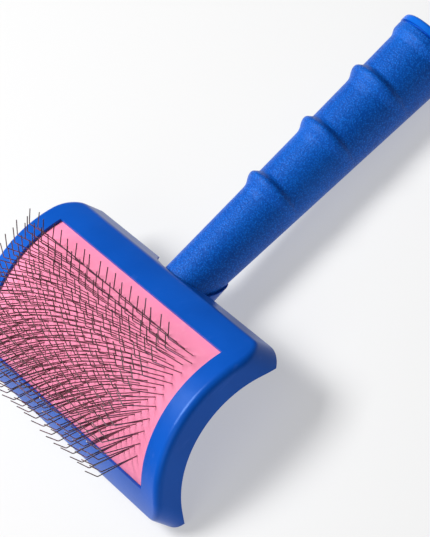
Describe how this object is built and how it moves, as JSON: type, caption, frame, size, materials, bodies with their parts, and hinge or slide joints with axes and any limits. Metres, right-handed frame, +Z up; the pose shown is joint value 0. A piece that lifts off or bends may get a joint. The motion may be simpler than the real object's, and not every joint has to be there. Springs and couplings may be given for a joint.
{
  "type": "slicker brush",
  "caption": "Grooming brush with a curved cushion pad of knee-bent wire pins in a shallow rectangular head, on a round handle with finger ridges.",
  "frame": {"origin": "centre of the bounding box on the surface the brush lies on, pins up", "axes": "+Y along the brush from the head towards the handle's end, +X across the head, +Z up, the side the pins stand on"},
  "size_m": [0.1306, 0.2028, 0.0576],
  "materials": {
    "frame_plastic": "moulded royal blue plastic, smooth satin",
    "shell_plastic": "moulded royal blue plastic, smooth satin",
    "grip_plastic": "royal blue plastic with a fine pebbled texture",
    "cap_plastic": "smooth royal blue plastic",
    "core_plastic": "as moulded dark blue plastic",
    "pad_rubber": "matte pink rubber sheet",
    "backing_cloth": "woven cotton backing",
    "cushion_foam": "closed-cell foam",
    "pin_wire": "bright drawn steel wire",
    "screw_steel": "zinc-plated steel"
  },
  "bodies": {
    "brush": {"front_frame": "frame_plastic", "back_shell": "shell_plastic", "foam_cushion": "cushion_foam", "handle_core": "core_plastic", "grip_sleeve": "grip_plastic", "end_cap": "cap_plastic", "neck_screw": "screw_steel"},
    "pad": {"pad_facing": "pad_rubber", "pad_cloth": "backing_cloth", "pin_row_01": "pin_wire", "pin_row_02": "pin_wire", "pin_row_03": "pin_wire", "pin_row_04": "pin_wire", "pin_row_05": "pin_wire", "pin_row_06": "pin_wire", "pin_row_07": "pin_wire", "pin_row_08": "pin_wire", "pin_row_09": "pin_wire", "pin_row_10": "pin_wire", "pin_row_11": "pin_wire", "pin_row_12": "pin_wire", "pin_row_13": "pin_wire", "pin_row_14": "pin_wire", "pin_row_15": "pin_wire", "pin_row_16": "pin_wire", "pin_row_17": "pin_wire", "pin_row_18": "pin_wire", "pin_row_19": "pin_wire"}
  },
  "joints": [
    {"name": "pad_press", "type": "slide", "parent": "brush", "child": "pad", "axis": [0, 0.327, -0.945], "range_m": [0, 0.0012], "stiffness_N_per_m": 8000, "springref_m": -0.0005, "deforming": ["foam_cushion"]}
  ]
}
